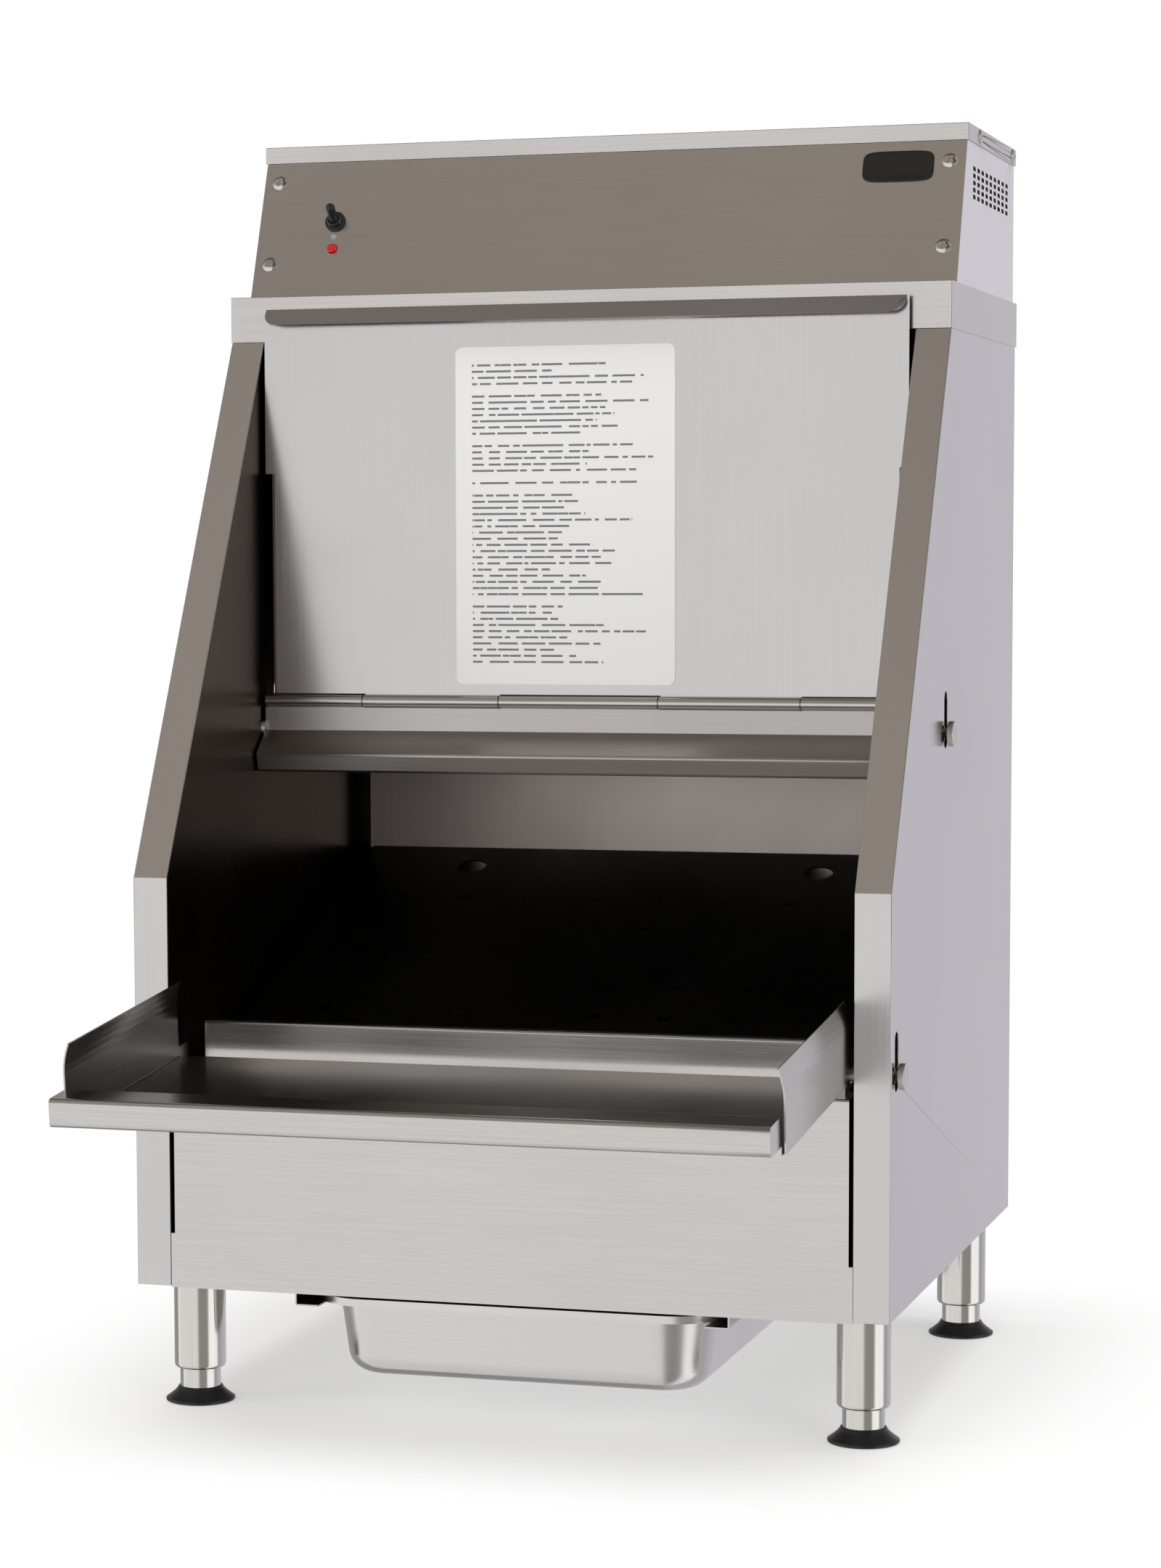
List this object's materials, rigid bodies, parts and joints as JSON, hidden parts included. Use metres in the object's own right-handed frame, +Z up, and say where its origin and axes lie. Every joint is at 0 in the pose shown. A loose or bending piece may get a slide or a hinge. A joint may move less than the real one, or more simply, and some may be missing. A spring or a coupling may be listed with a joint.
{
  "type": "chip warmer cabinet",
  "caption": "Stainless first-in first-out chip warmer: sloped hopper with a hinged loading door above a fold-out serving tray, slide-out crumb pan and adjustable feet.",
  "frame": {"origin": "on the floor, midway between the cabinet's side walls and midway between its front frame and its back", "axes": "+X to the right seen from the front, +Y to the back, +Z up"},
  "size_m": [0.6144, 0.8149, 1.0175],
  "materials": {
    "stainless_sheet": "brushed along its length",
    "stainless_panel": "brushed across",
    "stainless_fittings": "satin",
    "stainless_pan": "drawn, satin",
    "insulation": "mineral wool",
    "black_plastic": "gloss",
    "lens_red": "clear red moulding",
    "label_white": "satin film",
    "motor_grey": "satin paint",
    "heater_sheath": "heat-darkened",
    "boot_black": "matte"
  },
  "bodies": {
    "cabinet": {"side_panel_left": "stainless_sheet", "side_panel_right": "stainless_sheet", "front_trim_left": "stainless_sheet", "front_trim_right": "stainless_sheet", "side_liner_left": "stainless_sheet", "side_liner_right": "stainless_sheet", "wall_insulation": "insulation", "back_panel": "stainless_sheet", "back_liner": "stainless_sheet", "base_panel": "stainless_sheet", "front_apron": "stainless_sheet", "bin_sill": "stainless_sheet", "duct_panel": "stainless_sheet", "hopper_ceiling": "stainless_sheet", "top_collar": "stainless_sheet", "control_box_shell": "stainless_sheet", "control_panel": "stainless_panel", "control_lid": "stainless_sheet", "cover_screws": "stainless_fittings", "badge_plate": "black_plastic", "toggle_switch_body": "black_plastic", "indicator_lenses": "lens_red", "blower_housing": "stainless_sheet", "blower_motor": "motor_grey", "heater_element": "heater_sheath", "power_inlet": "black_plastic", "air_intake_cover": "stainless_sheet", "pan_rail_left": "stainless_sheet", "pan_rail_right": "stainless_sheet", "leg_front_left": "stainless_fittings", "leg_front_right": "stainless_fittings", "leg_rear_left": "stainless_fittings", "leg_rear_right": "stainless_fittings"},
    "hinge_rail_body": {"hinge_rail": "stainless_sheet", "hinge_fixed_leaf": "stainless_fittings", "hinge_pin": "stainless_fittings"},
    "top_door": {"top_door_skin": "stainless_sheet", "top_door_liner": "stainless_sheet", "hinge_moving_leaf": "stainless_fittings", "instruction_plate": "label_white"},
    "lower_door": {"lower_door_pan": "stainless_sheet", "lower_door_lip": "stainless_sheet", "door_pivot_bosses": "stainless_fittings"},
    "false_bottom": {"false_bottom": "stainless_sheet"},
    "crumb_pan": {"crumb_pan": "stainless_pan"},
    "toggle_lever": {"toggle_lever": "black_plastic"},
    "blower_wheel": {"blower_wheel": "stainless_sheet"},
    "rail_thumb_screw_left": {"rail_thumb_screw_left": "stainless_fittings"},
    "rail_thumb_screw_right": {"rail_thumb_screw_right": "stainless_fittings"},
    "door_thumb_screw_left": {"door_thumb_screw_left": "stainless_fittings"},
    "door_thumb_screw_right": {"door_thumb_screw_right": "stainless_fittings"},
    "foot_front_left": {"foot_stub_front_left": "stainless_fittings", "foot_boot_front_left": "boot_black"},
    "foot_front_right": {"foot_stub_front_right": "stainless_fittings", "foot_boot_front_right": "boot_black"},
    "foot_rear_left": {"foot_stub_rear_left": "stainless_fittings", "foot_boot_rear_left": "boot_black"},
    "foot_rear_right": {"foot_stub_rear_right": "stainless_fittings", "foot_boot_rear_right": "boot_black"}
  },
  "joints": [
    {"name": "hinge_rail_lift", "type": "slide", "parent": "cabinet", "child": "hinge_rail_body", "axis": [0, 0, 1], "range_m": [0, 0.026]},
    {"name": "top_door_hinge", "type": "hinge", "parent": "hinge_rail_body", "child": "top_door", "pos_m": [0, -0.0523, 0.5545], "axis": [1, 0, 0], "range_deg": [0, 75]},
    {"name": "lower_door_hinge", "type": "hinge", "parent": "cabinet", "child": "lower_door", "pos_m": [0, -0.249, 0.2855], "axis": [1, 0, 0], "range_deg": [-129, 0]},
    {"name": "false_bottom_lift", "type": "slide", "parent": "cabinet", "child": "false_bottom", "axis": [0, 0, 1], "range_m": [0, 0.05]},
    {"name": "crumb_pan_slide", "type": "slide", "parent": "cabinet", "child": "crumb_pan", "axis": [0, -1, 0], "range_m": [0, 0.45]},
    {"name": "toggle_lever_hinge", "type": "hinge", "parent": "cabinet", "child": "toggle_lever", "pos_m": [-0.231, 0.01701, 0.95405], "axis": [1, 0, 0], "range_deg": [0, 48]},
    {"name": "blower_wheel_spin", "type": "hinge", "parent": "cabinet", "child": "blower_wheel", "pos_m": [0, 0.1842, 0.9474], "axis": [1, 0, 0], "continuous": true},
    {"name": "rail_thumb_screw_left_turn", "type": "hinge", "parent": "hinge_rail_body", "child": "rail_thumb_screw_left", "pos_m": [-0.3, -0.0507, 0.532], "axis": [1, 0, 0], "continuous": true},
    {"name": "door_thumb_screw_left_turn", "type": "hinge", "parent": "cabinet", "child": "door_thumb_screw_left", "pos_m": [-0.3, -0.249, 0.2855], "axis": [1, 0, 0], "continuous": true},
    {"name": "rail_thumb_screw_right_turn", "type": "hinge", "parent": "hinge_rail_body", "child": "rail_thumb_screw_right", "pos_m": [0.3, -0.0507, 0.532], "axis": [1, 0, 0], "continuous": true},
    {"name": "door_thumb_screw_right_turn", "type": "hinge", "parent": "cabinet", "child": "door_thumb_screw_right", "pos_m": [0.3, -0.249, 0.2855], "axis": [1, 0, 0], "continuous": true},
    {"name": "foot_front_left_height", "type": "slide", "parent": "cabinet", "child": "foot_front_left", "axis": [0, 0, -1], "range_m": [-0.012, 0.019]},
    {"name": "foot_front_right_height", "type": "slide", "parent": "cabinet", "child": "foot_front_right", "axis": [0, 0, -1], "range_m": [-0.012, 0.019]},
    {"name": "foot_rear_left_height", "type": "slide", "parent": "cabinet", "child": "foot_rear_left", "axis": [0, 0, -1], "range_m": [-0.012, 0.019]},
    {"name": "foot_rear_right_height", "type": "slide", "parent": "cabinet", "child": "foot_rear_right", "axis": [0, 0, -1], "range_m": [-0.012, 0.019]}
  ]
}
